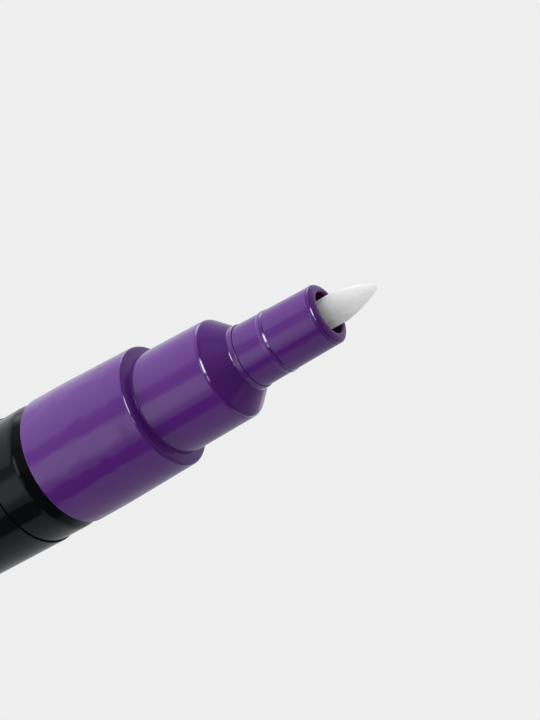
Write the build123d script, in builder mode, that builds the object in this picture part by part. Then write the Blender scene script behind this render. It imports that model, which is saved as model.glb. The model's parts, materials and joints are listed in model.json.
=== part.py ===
from build123d import *

import os
from math import atan2, cos, pi, radians, sin, tan

# Paint marker with a spring valve, standing on its tail plug. Millimetres, +Z along the axis towards
# the nib, origin at the middle of the tail's end face. Every piece is turned about the Z axis.

# Clearances
fit_gap = 0.03
running_gap = 0.06
valve_gap = 0.05
travel_gap = 0.5
ball_gap = 0.1

# Barrel
barrel_length = 92.0
barrel_diameter = 15.86
barrel_wall = 1.1
lip_length = 2.6
lip_drop = 0.55

# Label film
label_thickness = 0.17
label_front_margin = 5.7
label_rear_margin = 2.5

# Tail plug
tail_head_length = 4.5
tail_edge_round = 1.3
tail_recess_radius = 4.2
tail_recess_depth = 0.5
tail_floor = 2.0
tail_spigot_length = 8.0
tail_spigot_lead = 0.5
tail_wall = 1.2
tail_rib_height = 0.3
tail_rib_width = 1.2
tail_rib_count = 2

# Front section
collar_proud = 0.03
collar_length = 15.0
collar_rear_draft = 1.0
collar_draft = 2.4
collar_bow_length = 4.5
collar_bow_round = 100.0
collar_edge_round = 0.75
collar_step = 1.175
cap_seat_length = 9.1
cap_seat_draft = 1.8
shoulder_round = 1.15
cone_length = 2.45
ring_length = 0.65
ring_proud = 0.11
edge_round = 0.1
spigot_length = 12.0
spigot_wall = 1.5
spigot_lead = 0.5
snap_setback = 9.0
snap_width = 1.4
snap_height = 0.2

# O-ring in the spigot's groove
seal_section = 0.8
seal_setback = 4.0
seal_groove_width = 1.0

# Nozzle
nozzle_length = 10.45
nozzle_wall = 1.395
nozzle_draft = 1.5
nozzle_seat_length = 6.0
nozzle_shoulder = 0.67
bead_setback = 3.13
bead_length = 0.82
bead_height = 0.11
rim_length = 0.85
rim_proud = 0.03
mouth_gap = 0.724
mouth_depth = 2.6
mouth_round = 0.3
guide_rib_height = 0.55
guide_rib_width = 0.7
guide_rib_count = 6

# Nib
nib_diameter = 3.42
nib_length = 38.0
nib_bare_length = 1.25
nib_point_length = 4.6
nib_point_bulge = 0.185
nib_tip_diameter = 0.72
nib_tip_crown = 0.14
nib_rear_lead = 0.3
nib_travel = 1.6

# Valve stem, its head a share of the section's bore and its neck a share of the seat's hole
cup_wall = 0.6
cup_depth = 5.0
cup_floor = 1.5
cup_slit_width = 0.7
cup_slit_depth = 3.5
neck_share = 0.6
fin_thickness = 0.8
head_share = 0.52
head_rim = 0.1
head_thickness = 1.0
pin_length = 2.5
pin_lead_share = 0.2

# Valve body, gasket and stem seal, the guide a share of the section's bore and the seat's hole of the seal
guide_length = 4.0
guide_share = 0.58
guide_wall = 0.6
gasket_thickness = 0.8
gasket_width = 1.5
gasket_seat = 0.8
seat_thickness = 1.5
seat_share = 0.7
stem_seal_thickness = 0.9
socket_depth = 5.0
sleeve_wall = 0.9

# Valve cage and spring, the spring a share of the head and the floor's hole of the spring's pin
cage_wall = 0.7
cage_floor = 1.2
cage_hole_share = 0.6
window_width = 2.2
window_margin = 1.0
spring_length = 10.0
spring_share = 0.8
spring_wire = 0.5
spring_turns = 6
spring_pin_gap = 0.3

# Mixing ball
ball_diameter = 6.0

# Radii of the outer pieces, from the barrel
barrel_radius = barrel_diameter / 2
barrel_bore = barrel_radius - barrel_wall
spigot_radius = barrel_bore - fit_gap
collar_rear_radius = barrel_radius + collar_proud
collar_bow_radius = collar_rear_radius - collar_bow_length * tan(radians(collar_rear_draft))
collar_front_radius = collar_bow_radius - (collar_length - collar_bow_length) * tan(radians(collar_draft))
cap_seat_root_radius = collar_front_radius - collar_step
cap_seat_front_radius = cap_seat_root_radius - cap_seat_length * tan(radians(cap_seat_draft))

# Radii of the nozzle, from the nib
nib_radius = nib_diameter / 2
guide_rib_radius = nib_radius + running_gap
nozzle_bore = guide_rib_radius + guide_rib_height
nozzle_radius = nozzle_bore + nozzle_wall
shank_radius = nozzle_radius - nozzle_shoulder
mouth_radius = nib_radius + mouth_gap
ring_radius = nozzle_radius + ring_proud

# Radii of the valve, from the spigot inwards, and of the stem's cup, from the nib
section_bore = spigot_radius - spigot_wall
chamber_radius = section_bore - gasket_seat
valve_body_radius = section_bore - fit_gap
gasket_bore = valve_body_radius - gasket_width
guide_radius = guide_share * section_bore
guide_bore = guide_radius - guide_wall
fin_radius = guide_bore - running_gap
cage_radius = valve_body_radius - sleeve_wall - fit_gap
cage_bore = cage_radius - cage_wall
head_radius = head_share * section_bore
stem_seal_radius = head_radius - head_rim
seat_hole_radius = seat_share * stem_seal_radius
neck_radius = neck_share * seat_hole_radius
spring_radius = spring_share * head_radius
pin_radius = spring_radius - spring_wire / 2 - spring_pin_gap
pin_lead = pin_lead_share * pin_radius
cage_hole_radius = cage_hole_share * pin_radius
cup_bore = nib_radius + fit_gap
cup_radius = cup_bore + cup_wall

# Heights from the tail to the nib's tip
collar_rear = tail_head_length + barrel_length
collar_front = collar_rear + collar_length
cap_seat_front = collar_front + cap_seat_length
cone_front = cap_seat_front + cone_length
ring_front = cone_front + ring_length
nozzle_front = ring_front + nozzle_length
nib_point_rear = nozzle_front + nib_bare_length
nib_tip = nib_point_rear + nib_point_length

# Heights of the valve, down from the nib's rear end
nib_rear = nib_tip - nib_length
cup_front = nib_rear + cup_depth
cup_rear = nib_rear - cup_floor
guide_front = cup_rear - nib_travel - travel_gap
valve_body_front = guide_front - guide_length
gasket_front = valve_body_front + gasket_thickness
seat_face = valve_body_front - seat_thickness
valve_body_rear = seat_face - socket_depth
head_front = seat_face - valve_gap - stem_seal_thickness
head_rear = head_front - head_thickness
cage_floor_front = head_rear - spring_length
cage_rear = cage_floor_front - cage_floor
chamber_front = ring_front - nozzle_seat_length
spigot_rear = collar_rear - spigot_length


def outline(*corners):
    """Closed outline in the plane through the axis, from (radius, height[, rounding]) corners."""
    points = [corner[:2] for corner in corners]
    roundings = [corner[2] if len(corner) > 2 else 0 for corner in corners]
    with BuildSketch(Plane.XZ) as shape:
        with BuildLine():
            FilletPolyline(*points, radius=roundings, close=True)
        make_face()
    return shape.sketch


def ring_outline(inner_radius, outer_radius, rear, front):
    """Plain rectangle for a tube, bore or groove between two heights."""
    return outline(
        (inner_radius, rear),
        (outer_radius, rear),
        (outer_radius, front),
        (inner_radius, front),
    )


def finish(builder, name):
    """Label a finished piece and write it to its own file."""
    builder.part.label = name
    export_step(builder.part, f"parts/{name}.step")


os.makedirs("parts", exist_ok=True)

# Black barrel: a plain tube whose front lip turns in softly, with a snap groove inside
lip_bend = 0.3 * lip_length
lip_corner = collar_rear - lip_length + lip_bend
lip_turn = atan2(lip_drop, lip_length - lip_bend)
lip_round = lip_bend / tan(lip_turn / 2)
snap_height_above_tail = collar_rear - snap_setback
snap_groove_radius = spigot_radius + snap_height + fit_gap
snap_groove_half = snap_width / 2 + fit_gap

with BuildPart() as barrel:
    revolve(
        outline(
            (barrel_bore, tail_head_length),
            (barrel_radius, tail_head_length),
            (barrel_radius, lip_corner, lip_round),
            (barrel_radius - lip_drop, collar_rear),
            (barrel_bore, collar_rear),
        ),
        axis=Axis.Z,
    )
    revolve(
        ring_outline(
            barrel_bore - fit_gap,
            snap_groove_radius,
            snap_height_above_tail - snap_groove_half,
            snap_height_above_tail + snap_groove_half,
        ),
        axis=Axis.Z,
        mode=Mode.SUBTRACT,
    )
finish(barrel, "barrel")

# Label film wrapped round the barrel, short of both its ends
label_rear = tail_head_length + label_rear_margin
label_front = collar_rear - label_front_margin
label_bore = barrel_radius + fit_gap / 3

with BuildPart() as label_sleeve:
    revolve(
        ring_outline(label_bore, barrel_radius + label_thickness, label_rear, label_front),
        axis=Axis.Z,
    )
finish(label_sleeve, "label_sleeve")

# Tail plug: a rounded head with a shallow recess, and a hollow spigot with sealing ribs
tail_spigot_radius = barrel_bore - fit_gap - tail_rib_height
tail_cup_radius = tail_spigot_radius - tail_wall
tail_front = tail_head_length + tail_spigot_length
tail_cup_floor = tail_recess_depth + tail_floor
tail_rib_step = tail_spigot_length / (tail_rib_count + 1)

with BuildPart() as tail_plug:
    revolve(
        outline(
            (0, 0),
            (barrel_radius, 0, tail_edge_round),
            (barrel_radius, tail_head_length),
            (tail_spigot_radius, tail_head_length),
            (tail_spigot_radius, tail_front - tail_spigot_lead),
            (tail_spigot_radius - tail_spigot_lead, tail_front),
            (0, tail_front),
        ),
        axis=Axis.Z,
    )
    for rib in range(tail_rib_count):
        rib_height = tail_head_length + tail_rib_step * (rib + 1)
        revolve(
            outline(
                (tail_cup_radius, rib_height - tail_rib_width / 2),
                (tail_spigot_radius, rib_height - tail_rib_width / 2),
                (tail_spigot_radius + tail_rib_height, rib_height),
                (tail_spigot_radius, rib_height + tail_rib_width / 2),
                (tail_cup_radius, rib_height + tail_rib_width / 2),
            ),
            axis=Axis.Z,
        )
    revolve(
        outline(
            (0, tail_cup_floor),
            (tail_cup_radius, tail_cup_floor),
            (tail_cup_radius, tail_front + fit_gap),
            (0, tail_front + fit_gap),
        ),
        axis=Axis.Z,
        mode=Mode.SUBTRACT,
    )
    revolve(
        outline(
            (0, -fit_gap),
            (tail_recess_radius, -fit_gap),
            (tail_recess_radius, tail_recess_depth),
            (0, tail_recess_depth),
        ),
        axis=Axis.Z,
        mode=Mode.SUBTRACT,
    )
finish(tail_plug, "tail_plug")

# Purple front section: collar, drafted cap seat, rounded shoulder, cone and ring over a spigot
seal_ring_radius = barrel_bore - fit_gap - seal_section / 2
seal_groove_floor = seal_ring_radius - seal_section / 2 - fit_gap
seal_height = collar_rear - seal_setback
collar_face_round = min(collar_edge_round, 0.6 * collar_step)

with BuildPart() as front_section:
    revolve(
        outline(
            (0, spigot_rear),
            (spigot_radius - spigot_lead, spigot_rear),
            (spigot_radius, spigot_rear + spigot_lead),
            (spigot_radius, collar_rear),
            (collar_rear_radius, collar_rear, edge_round),
            (collar_bow_radius, collar_rear + collar_bow_length, collar_bow_round),
            (collar_front_radius, collar_front, collar_face_round),
            (cap_seat_root_radius, collar_front),
            (cap_seat_front_radius, cap_seat_front, shoulder_round),
            (ring_radius, cone_front),
            (ring_radius, ring_front),
            (0, ring_front),
        ),
        axis=Axis.Z,
    )
    revolve(
        outline(
            (section_bore, snap_height_above_tail - snap_width / 2),
            (spigot_radius, snap_height_above_tail - snap_width / 2),
            (spigot_radius + snap_height, snap_height_above_tail),
            (spigot_radius, snap_height_above_tail + snap_width / 2),
            (section_bore, snap_height_above_tail + snap_width / 2),
        ),
        axis=Axis.Z,
    )
    revolve(
        ring_outline(
            seal_groove_floor,
            spigot_radius + fit_gap,
            seal_height - seal_groove_width / 2,
            seal_height + seal_groove_width / 2,
        ),
        axis=Axis.Z,
        mode=Mode.SUBTRACT,
    )
    revolve(
        outline(
            (0, spigot_rear - fit_gap),
            (section_bore, spigot_rear - fit_gap),
            (section_bore, gasket_front),
            (chamber_radius, gasket_front),
            (chamber_radius, chamber_front),
            (shank_radius + fit_gap, chamber_front),
            (shank_radius + fit_gap, ring_front + fit_gap),
            (0, ring_front + fit_gap),
        ),
        axis=Axis.Z,
        mode=Mode.SUBTRACT,
    )
finish(front_section, "front_section")

# O-ring that seals the spigot in the barrel
with BuildPart() as front_seal:
    with BuildSketch(Plane.XZ):
        with Locations((seal_ring_radius, seal_height)):
            Circle(seal_section / 2)
    revolve(axis=Axis.Z)
finish(front_seal, "front_seal")

# Purple nozzle: a tube with a snap bead and a rounded mouth, pressed into the ring by its shank
nozzle_slope = tan(radians(nozzle_draft))
bead_rear = ring_front + bead_setback
bead_front = bead_rear + bead_length
bead_round = 0.4 * bead_length
bead_rear_radius = nozzle_radius - bead_setback * nozzle_slope
bead_front_radius = bead_rear_radius - bead_length * nozzle_slope
rim_rear = nozzle_front - rim_length
rim_rear_radius = nozzle_radius - (nozzle_length - rim_length) * nozzle_slope
rim_radius = rim_rear_radius + rim_proud
rim_wall = rim_radius - mouth_radius
rim_round = min(0.8 * rim_length, 0.5 * rim_wall)
mouth_rear = nozzle_front - mouth_depth

with BuildPart() as nozzle:
    revolve(
        outline(
            (0, chamber_front),
            (shank_radius, chamber_front),
            (shank_radius, ring_front),
            (nozzle_radius, ring_front),
            (bead_rear_radius, bead_rear),
            (bead_rear_radius + 0.7 * bead_height, bead_rear + 0.3 * bead_length, bead_round),
            (bead_front_radius + bead_height, bead_rear + 0.75 * bead_length, bead_round),
            (bead_front_radius, bead_front),
            (rim_rear_radius, rim_rear),
            (rim_radius, rim_rear + rim_proud),
            (rim_radius, nozzle_front, rim_round),
            (0, nozzle_front),
        ),
        axis=Axis.Z,
    )
    revolve(
        ring_outline(0, nozzle_bore, chamber_front - fit_gap, mouth_rear + fit_gap),
        axis=Axis.Z,
        mode=Mode.SUBTRACT,
    )
    revolve(
        ring_outline(0, mouth_radius, mouth_rear, nozzle_front + fit_gap),
        axis=Axis.Z,
        mode=Mode.SUBTRACT,
    )
    mouth_edge = nozzle.edges().filter_by(GeomType.CIRCLE).group_by(Axis.Z)[-1].sort_by(SortBy.RADIUS)[0]
    fillet(mouth_edge, min(mouth_round, 0.3 * rim_wall))
    with BuildSketch(Plane.XY.offset(chamber_front)):
        with PolarLocations(guide_rib_radius + guide_rib_height, guide_rib_count):
            Rectangle(2 * guide_rib_height, guide_rib_width)
    extrude(amount=mouth_rear - chamber_front)
finish(nozzle, "nozzle")

# Fibre nib: a long rod whose point swells slightly and ends in a small crown
nib_tip_radius = nib_tip_diameter / 2

with BuildPart() as nib:
    with BuildSketch(Plane.XZ):
        with BuildLine():
            rod = Polyline(
                (0, nib_rear),
                (nib_radius - nib_rear_lead, nib_rear),
                (nib_radius, nib_rear + nib_rear_lead),
                (nib_radius, nib_point_rear),
            )
            point = SagittaArc(rod @ 1, (nib_tip_radius, nib_tip - nib_tip_crown), -nib_point_bulge)
            crown = TangentArc((0, nib_tip), point @ 1, tangent=(1, 0))
            Line((0, nib_tip), (0, nib_rear))
        make_face()
    revolve(axis=Axis.Z)
finish(nib, "nib")

# Valve body: a sleeve pressed into the spigot, with the seat and the stem's guide tube
with BuildPart() as valve_body:
    revolve(
        outline(
            (0, valve_body_rear),
            (valve_body_radius, valve_body_rear),
            (valve_body_radius, valve_body_front),
            (guide_radius, valve_body_front),
            (guide_radius, guide_front),
            (0, guide_front),
        ),
        axis=Axis.Z,
    )
    revolve(
        outline(
            (0, valve_body_rear - fit_gap),
            (cage_radius + fit_gap, valve_body_rear - fit_gap),
            (cage_radius + fit_gap, seat_face),
            (seat_hole_radius, seat_face),
            (seat_hole_radius, valve_body_front),
            (guide_bore, valve_body_front),
            (guide_bore, guide_front + fit_gap),
            (0, guide_front + fit_gap),
        ),
        axis=Axis.Z,
        mode=Mode.SUBTRACT,
    )
finish(valve_body, "valve_body")

# Gasket between the valve body and the step inside the front section
with BuildPart() as valve_gasket:
    revolve(
        ring_outline(gasket_bore, valve_body_radius, valve_body_front, gasket_front),
        axis=Axis.Z,
    )
finish(valve_gasket, "valve_gasket")

# Valve cage: a cup pressed under the seat, with side windows and a hole in its floor for the paint
window_rear = cage_floor_front + window_margin
window_front = valve_body_rear - window_margin

with BuildPart() as valve_cage:
    revolve(
        outline(
            (cage_hole_radius, cage_rear),
            (cage_radius, cage_rear),
            (cage_radius, seat_face),
            (cage_bore, seat_face),
            (cage_bore, cage_floor_front),
            (cage_hole_radius, cage_floor_front),
        ),
        axis=Axis.Z,
    )
    for side in (Plane.XZ, Plane.YZ):
        with BuildSketch(side):
            with Locations((0, (window_rear + window_front) / 2)):
                SlotOverall(window_front - window_rear, window_width, rotation=90)
        extrude(amount=cage_radius + fit_gap, both=True, mode=Mode.SUBTRACT)
finish(valve_cage, "valve_cage")

# Valve stem: nib cup with gripping slits, guide fins, neck, poppet head and spring pin
fin_rear = valve_body_front + nib_travel + travel_gap

with BuildPart() as valve_stem:
    revolve(
        outline(
            (0, head_rear - pin_length),
            (pin_radius - pin_lead, head_rear - pin_length),
            (pin_radius, head_rear - pin_length + pin_lead),
            (pin_radius, head_rear),
            (head_radius, head_rear),
            (head_radius, head_front),
            (neck_radius, head_front),
            (neck_radius, cup_rear),
            (cup_radius, cup_rear),
            (cup_radius, cup_front),
            (cup_bore, cup_front),
            (cup_bore, nib_rear),
            (0, nib_rear),
        ),
        axis=Axis.Z,
    )
    with BuildSketch(Plane.XY.offset(fin_rear)):
        Rectangle(3 * fin_radius, fin_thickness)
        Rectangle(fin_thickness, 3 * fin_radius)
        Circle(fin_radius, mode=Mode.INTERSECT)
    extrude(amount=cup_rear + cup_floor / 2 - fin_rear)
    with BuildSketch(Plane.XY.offset(cup_front - cup_slit_depth)):
        Rectangle(2 * cup_radius + fit_gap, cup_slit_width)
        Rectangle(cup_slit_width, 2 * cup_radius + fit_gap)
    extrude(amount=cup_slit_depth + fit_gap, mode=Mode.SUBTRACT)
finish(valve_stem, "valve_stem")

# Rubber ring on the poppet head
with BuildPart() as stem_seal:
    revolve(
        outline(
            (neck_radius + fit_gap, head_front),
            (stem_seal_radius, head_front),
            (stem_seal_radius, head_front + stem_seal_thickness),
            (neck_radius + fit_gap, head_front + stem_seal_thickness),
        ),
        axis=Axis.Z,
    )
finish(stem_seal, "stem_seal")

# Valve spring: one wire wound on quarter turns, each quarter made of two arcs that meet smoothly
spring_rear = cage_floor_front + spring_wire / 2 + valve_gap
spring_front = head_rear - spring_wire / 2 - valve_gap
spring_pitch = (spring_front - spring_rear) / spring_turns
spring_rise = spring_pitch / (2 * pi)


def spring_point(angle):
    """Point on the spring's centre line after turning through the angle."""
    return Vector(spring_radius * cos(angle), spring_radius * sin(angle), spring_rear + spring_rise * angle)


def spring_heading(angle):
    """Direction of the wire at that point."""
    return Vector(-spring_radius * sin(angle), spring_radius * cos(angle), spring_rise).normalized()


def quarter_turn(start_angle, end_angle):
    """Two arcs from one point of the spring to the next, tangent to it at both ends."""
    start, end = spring_point(start_angle), spring_point(end_angle)
    start_heading, end_heading = spring_heading(start_angle), spring_heading(end_angle)
    chord = end - start
    along = chord.dot(start_heading + end_heading)
    spread = 2 * (1 - start_heading.dot(end_heading))
    reach = (-along + (along**2 + spread * chord.dot(chord)) ** 0.5) / spread
    first_knee = start + start_heading * reach
    second_knee = end - end_heading * reach
    middle = (first_knee + second_knee) / 2
    TangentArc(start, middle, tangent=start_heading)
    TangentArc(middle, end, tangent=second_knee - first_knee)


quarter_angles = [pi / 2 * quarter for quarter in range(4 * spring_turns + 1)]

with BuildLine() as spring_path:
    for start_angle, end_angle in zip(quarter_angles, quarter_angles[1:]):
        quarter_turn(start_angle, end_angle)

with BuildPart() as valve_spring:
    with BuildSketch(Plane(origin=spring_point(0), z_dir=spring_heading(0))):
        Circle(spring_wire / 2)
    sweep(path=spring_path.wire())
finish(valve_spring, "valve_spring")

# Least gap between one turn of the wire and the next, measured on points of its centre line
samples_per_turn = 90
samples = [spring_point(2 * pi * i / samples_per_turn) for i in range(spring_turns * samples_per_turn + 1)]
least_gap = min(
    (samples[i] - samples[j]).length
    for i in range(len(samples))
    for j in range(i + samples_per_turn // 2, len(samples))
)
print(f"valve_spring least gap to itself {least_gap - spring_wire:.2f} mm")

# Loose steel ball that stirs the paint
ball_radius = ball_diameter / 2

with BuildPart() as mixing_ball:
    with Locations((0, 0, tail_cup_floor + ball_gap + ball_radius)):
        Sphere(ball_radius)
finish(mixing_ball, "mixing_ball")
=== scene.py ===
"""Looks of a valve-action paint marker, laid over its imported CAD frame."""

import json
import math

import bmesh
import bpy
from bpy.props import FloatProperty, FloatVectorProperty, IntProperty, PointerProperty
from bpy.types import Operator, Panel, PropertyGroup
from mathutils import Matrix, Vector, noise


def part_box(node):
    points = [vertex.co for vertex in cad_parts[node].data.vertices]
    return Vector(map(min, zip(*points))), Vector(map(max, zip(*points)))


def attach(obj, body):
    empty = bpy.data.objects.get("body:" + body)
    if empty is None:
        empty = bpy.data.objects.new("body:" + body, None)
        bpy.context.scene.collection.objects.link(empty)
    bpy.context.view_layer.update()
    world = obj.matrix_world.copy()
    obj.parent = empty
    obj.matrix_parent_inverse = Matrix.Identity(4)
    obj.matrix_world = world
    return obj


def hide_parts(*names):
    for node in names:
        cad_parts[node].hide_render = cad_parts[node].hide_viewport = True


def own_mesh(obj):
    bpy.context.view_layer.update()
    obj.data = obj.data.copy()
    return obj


bl_info = {
    "name": "Paint Marker",
    "version": (1, 0, 0),
    "blender": (4, 5, 0),
    "location": "View3D > Sidebar > Marker",
    "description": "Builds the looks of a valve-action paint marker around its CAD frame",
    "category": "Object",
}

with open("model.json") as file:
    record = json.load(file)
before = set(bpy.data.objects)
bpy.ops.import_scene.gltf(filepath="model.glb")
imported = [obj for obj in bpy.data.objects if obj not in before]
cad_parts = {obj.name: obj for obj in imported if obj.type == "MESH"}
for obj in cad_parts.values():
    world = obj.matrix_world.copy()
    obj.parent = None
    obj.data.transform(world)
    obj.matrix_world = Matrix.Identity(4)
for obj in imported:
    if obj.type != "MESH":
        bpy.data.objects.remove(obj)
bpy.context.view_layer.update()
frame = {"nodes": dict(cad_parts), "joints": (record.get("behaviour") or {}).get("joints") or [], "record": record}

# Fineness of the meshes, and roundings and places that several pieces share
MM = 0.001
ARC_STEP = math.radians(9)
EDGE_SUPPORT = 0.03 * MM
PATH_RADIUS = 10 * MM
SHARP_ANGLE = math.radians(38)
WELD_DISTANCE = 1e-7
COIL_STEPS = 48
WIRE_SIDES = 20
EDGE_ROUND = 0.12 * MM
FINE_ROUND = 0.06 * MM
SNAP_SETBACK = 9.0 * MM

# Places on the finishes, in millimetres
COLLAR_TO_NOZZLE = 12.2
MARK_SETBACK = 1.7
BORE_EDGE = (2.45, 2.6)
NIB_POINT_EDGE = (5.1, 4.5)

# Gloss of the black pieces, and how much brighter and bluer the nib's rod is painted than its point; the extra
# brightness is painted light for the rod in the shade of the nozzle's mouth
BLACK_GLOSS = 0.2
BLACK_GLOSS_TINT = (0.92, 0.98, 1.0, 1)
ROD_TINT_AND_PAINTED_LIGHT = (1.42, 1.41, 1.49)

# Floor's half width in metres, and the share of it that the camera sees as plain backdrop
FLOOR_REACH = 15
FLOOR_GLOW = 0.75

# CAD nodes that the scene makes anew
REMADE_NODES = (
    "barrel",
    "label_sleeve",
    "tail_plug",
    "front_section",
    "nozzle",
    "nib",
    "valve_spring",
)

# Heights and radii that the frame already fixes
BARREL_LOW, BARREL_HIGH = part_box("barrel")
LABEL_LOW, LABEL_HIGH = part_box("label_sleeve")
SECTION_LOW, SECTION_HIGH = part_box("front_section")
NOZZLE_LOW, NOZZLE_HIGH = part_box("nozzle")
NIB_LOW, NIB_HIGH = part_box("nib")
TAIL_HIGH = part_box("tail_plug")[1]
SPRING_LOW, SPRING_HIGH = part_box("valve_spring")


def length(name, description, millimetres):
    """Length property whose default is given in millimetres."""
    return FloatProperty(
        name=name, description=description, default=millimetres * MM, unit="LENGTH", precision=5
    )


def angle(name, description, degrees):
    """Angle property whose default is given in degrees."""
    return FloatProperty(
        name=name, description=description, default=math.radians(degrees), unit="ROTATION"
    )


def number(name, description, value, least):
    """Whole number property with a least value."""
    return IntProperty(name=name, description=description, default=value, min=least)


def tint(name, description, red, green, blue):
    """Colour property in linear values."""
    return FloatVectorProperty(
        name=name,
        description=description,
        default=(red, green, blue),
        size=3,
        subtype="COLOR",
        min=0,
        max=1,
    )


def level(name, description, value):
    """Plain number property for a strength or a share."""
    return FloatProperty(
        name=name, description=description, default=value, subtype="FACTOR", min=0, max=100
    )


class MarkerSizes(PropertyGroup):
    """Sizes of the turned pieces."""

    segments: number("Segments", "Facets round every turned piece", 192, 24)
    barrel_wall: length("Barrel wall", "Thickness of the black barrel", 1.1)
    lip_length: length("Lip length", "Length over which the barrel's front lip turns in", 2.6)
    lip_drop: length("Lip drop", "How far the lip turns in", 0.55)
    tail_round: length("Tail edge", "Rounding of the tail plug's edge", 1.3)
    collar_length: length("Collar length", "Length of the purple collar", 15.0)
    collar_bow: length("Collar bow", "Distance from the collar's rear to where its taper grows", 4.5)
    collar_rear_draft: angle("Collar rear draft", "Taper of the collar's rear part", 1.0)
    collar_draft: angle("Collar draft", "Taper of the collar's front part", 2.4)
    collar_round: length("Collar edge", "Rounding of the collar's front edge", 0.45)
    collar_fall: length("Collar fall", "How far the collar's front face falls towards its edge", 0.3)
    collar_step: length("Collar step", "Drop from the collar to the cap seat", 1.175)
    seat_length: length("Cap seat length", "Length of the cap seat", 9.15)
    seat_draft: angle("Cap seat draft", "Taper of the cap seat", 1.8)
    shoulder_round: length("Shoulder", "Rounding between cap seat and cone", 1.0)
    cone_length: length("Cone length", "Length of the cone", 2.4)
    ring_radius: length("Ring radius", "Radius of the short ring on the cone", 3.825)
    nozzle_radius: length("Nozzle radius", "Radius of the nozzle at the ring", 3.715)
    nozzle_draft: angle("Nozzle draft", "Taper of the nozzle", 1.5)
    bead_setback: length("Bead setback", "Distance from the ring to the bead", 3.13)
    bead_length: length("Bead length", "Length of the rounded bead", 0.82)
    bead_height: length("Bead height", "Height of the bead", 0.11)
    rim_length: length("Rim length", "Distance of the rim's line from the front", 0.69)
    mouth_radius: length("Mouth radius", "Radius of the nozzle's mouth", 2.434)
    mouth_depth: length("Mouth depth", "Depth of the mouth before the guide ribs", 2.6)
    rib_count: number("Guide ribs", "Ribs that guide the nib in the nozzle", 6, 3)
    rib_width: length("Rib width", "Width of one guide rib", 0.7)
    nib_point: length("Point length", "Length of the nib's point", 4.6)
    nib_bulge: length("Point bulge", "How far the point swells", 0.185)
    nib_tip: length("Tip radius", "Radius of the blunt tip", 0.36)
    nib_fray: length("Fray", "How far the fibres of the cut point stand out", 0.02)
    nib_strand: length("Strand", "Distance between the frayed fibres", 0.45)
    spring_wire: length("Spring wire", "Diameter of the spring's wire", 0.5)
    spring_turns: number("Spring turns", "Turns of the spring", 6, 2)


class MarkerColours(PropertyGroup):
    """Colours of the finishes, in linear values."""

    purple: tint("Purple", "Moulded purple of the front", 0.118, 0.015, 0.248)
    black: tint("Black", "Moulded black of the barrel", 0.0024, 0.0027, 0.0034)
    film: tint("Film", "Black film round the barrel", 0.0034, 0.0036, 0.0046)
    fibre: tint("Fibre", "Bonded fibre of the nib", 0.66, 0.673, 0.671)
    natural: tint("Natural", "Natural plastic of the valve", 0.80, 0.80, 0.77)
    rubber: tint("Rubber", "Rubber of the seals", 0.022, 0.022, 0.023)
    steel: tint("Steel", "Steel of the spring and ball", 0.60, 0.60, 0.62)
    dust: tint("Dust", "Dust on the black pieces", 0.3, 0.3, 0.32)
    lilac_dust: tint("Lilac dust", "Dust on the purple pieces", 0.55, 0.5, 0.6)
    # Painted shade: the dark purple that the nozzle's bore is painted with, standing in for the shade inside the
    # mouth
    stain_and_painted_shade: tint("Bore shade", "Painted shade in the nozzle's bore", 0.05, 0.012, 0.06)
    backdrop: tint("Backdrop", "Pale floor and background", 0.863, 0.863, 0.863)


class MarkerStage(PropertyGroup):
    """Camera and lights."""

    lens: FloatProperty(
        name="Lens", description="Focal length on a 36 mm high frame", default=73.0, unit="CAMERA"
    )
    distance: length("Distance", "Camera's distance from the aim", 158.26)
    elevation: angle("Elevation", "Camera's height above the level", 24.47)
    roll: angle("Roll", "Turn of the camera about its own axis", 60.86)
    aim_side: length("Aim aside", "Sideways place of the aim", 1.366)
    aim_height: length("Aim height", "Height of the aim on the marker", 125.24)
    overhead: level("Overhead", "Soft light from above in front", 0.08)
    overhead_rear: level("Overhead rear", "Soft light from above at the sides and behind", 1.0)
    left: level("Left", "Soft light from the left and below", 2.05)
    right: level("Right", "Soft light from the right and below", 0.41)
    strip: level("Strip", "Strength of the narrow light that the edges reflect", 4.8)
    sun: level("Floor light", "Strength of the lamp that lights the floor", 1.65)
    sun_azimuth: angle("Floor light azimuth", "Side from which the floor is lit", -62.0)
    sun_elevation: angle("Floor light elevation", "Height from which the floor is lit", 60.0)
    sun_softness: angle("Floor light softness", "Width of the floor's light", 40.0)


class Wire:
    """One output of a node tree. Arithmetic on it adds Math nodes."""

    def __init__(self, board, socket):
        self.board = board
        self.socket = socket

    def __getitem__(self, name):
        return Wire(self.board, self.socket.node.outputs[name])

    def __add__(self, other):
        return self.board.math("ADD", self, other)

    def __radd__(self, other):
        return self.board.math("ADD", other, self)

    def __sub__(self, other):
        return self.board.math("SUBTRACT", self, other)

    def __rsub__(self, other):
        return self.board.math("SUBTRACT", other, self)

    def __mul__(self, other):
        return self.board.math("MULTIPLY", self, other)

    def __rmul__(self, other):
        return self.board.math("MULTIPLY", other, self)

    def __truediv__(self, other):
        return self.board.math("DIVIDE", self, other)

    def __rtruediv__(self, other):
        return self.board.math("DIVIDE", other, self)

    def __neg__(self):
        return self.board.math("MULTIPLY", self, -1.0)

    def __abs__(self):
        return self.board.math("ABSOLUTE", self)

    def ramp(self, start, end):
        """0 below start, 1 above end, smooth between."""
        return self.board.node(
            "ShaderNodeMapRange",
            {"interpolation_type": "SMOOTHSTEP"},
            {"Value": self, "From Min": start, "From Max": end},
        )

    def between(self, start, full, fade, end):
        """1 from full to fade, 0 outside start and end, smooth between."""
        return self.ramp(start, full) * (1 - self.ramp(fade, end))

    def near(self, middle, inner, outer):
        """1 within the inner distance of the middle, 0 beyond the outer, smooth between."""
        return 1 - abs(self - middle).ramp(inner, outer)


def rgba(colour, gain=1.0):
    """Four-value colour from a colour property, brightened by the gain."""
    return (*(min(1.0, channel * gain) for channel in colour), 1.0)


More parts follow.
